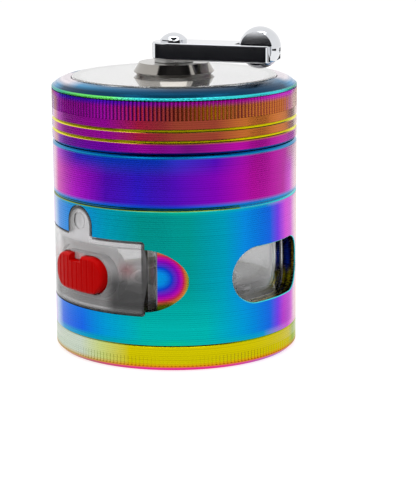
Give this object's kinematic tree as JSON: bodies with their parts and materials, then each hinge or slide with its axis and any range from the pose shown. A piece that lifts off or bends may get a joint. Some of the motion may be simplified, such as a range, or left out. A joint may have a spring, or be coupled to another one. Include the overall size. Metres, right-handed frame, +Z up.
{
  "type": "crank herb grinder",
  "caption": "Hand-cranked herb grinder in stacked rainbow-plated rings, with a clear lid window, glazed sides and a clear pull-out drawer with a red push button.",
  "frame": {"origin": "middle of the flat underside of the base", "axes": "+Z up along the crank's axis; the drawer faces -Y and slides out that way"},
  "size_m": [0.063, 0.0647, 0.083],
  "materials": {
    "yellow_plate": "mirror plating with a yellow cast",
    "teal_plate": "fine turned plating, teal to blue and violet",
    "purple_plate": "fine turned plating, purple to blue and magenta",
    "red_plate": "knurled and polished plating, magenta to red and gold",
    "clear_plastic": "clear polished acrylic",
    "red_plastic": "glossy moulded red",
    "chrome": "polished chrome",
    "brushed_steel": "satin stainless",
    "spring_steel": "drawn wire",
    "tooth_alloy": "machined alloy",
    "brass": "turned brass",
    "nylon": "white nylon",
    "black_rubber": "matt black rubber"
  },
  "bodies": {
    "base": {"base_cup": "yellow_plate"},
    "collector": {"collector_shell": "teal_plate", "window_sleeve": "clear_plastic", "floor_ring": "brushed_steel"},
    "drawer": {"drawer_tray": "clear_plastic", "mesh_screen": "brushed_steel", "screen_ring": "brushed_steel", "button_spring": "spring_steel"},
    "button": {"drawer_button": "red_plastic"},
    "chamber": {"grind_chamber": "purple_plate", "slip_ring": "nylon"},
    "lid": {"lid_ring": "red_plate", "window_gasket": "black_rubber", "top_window": "clear_plastic", "hub_collar": "chrome", "hub_bush": "brass", "hub_nut": "brushed_steel"},
    "crank": {"drive_shaft": "brushed_steel", "rotor": "tooth_alloy", "rotor_screw": "brushed_steel", "crank_washer": "brushed_steel", "crank_arm": "chrome", "crank_screw": "chrome", "knob_pin": "brushed_steel"},
    "knob": {"ball_knob": "chrome"}
  },
  "joints": [
    {"name": "collector_lift", "type": "slide", "parent": "base", "child": "collector", "axis": [0, 0, 1], "range_m": [0, 0.015]},
    {"name": "chamber_lift", "type": "slide", "parent": "collector", "child": "chamber", "axis": [0, 0, 1], "range_m": [0, 0.015]},
    {"name": "lid_lift", "type": "slide", "parent": "chamber", "child": "lid", "axis": [0, 0, 1], "range_m": [0, 0.03]},
    {"name": "crank_turn", "type": "hinge", "parent": "lid", "child": "crank", "pos_m": [0, 0, 0.0766], "axis": [0, 0, 1], "continuous": true},
    {"name": "knob_roll", "type": "hinge", "parent": "crank", "child": "knob", "pos_m": [0.02046, 0.01115, 0.0777], "axis": [-0.4787, 0.878, 0], "continuous": true},
    {"name": "drawer_slide", "type": "slide", "parent": "collector", "child": "drawer", "axis": [0, -1, 0], "range_m": [0, 0.04]},
    {"name": "button_press", "type": "slide", "parent": "drawer", "child": "button", "axis": [0, 1, 0], "range_m": [0, 0.0015], "stiffness_N_per_m": 300, "deforming": ["button_spring"]}
  ]
}
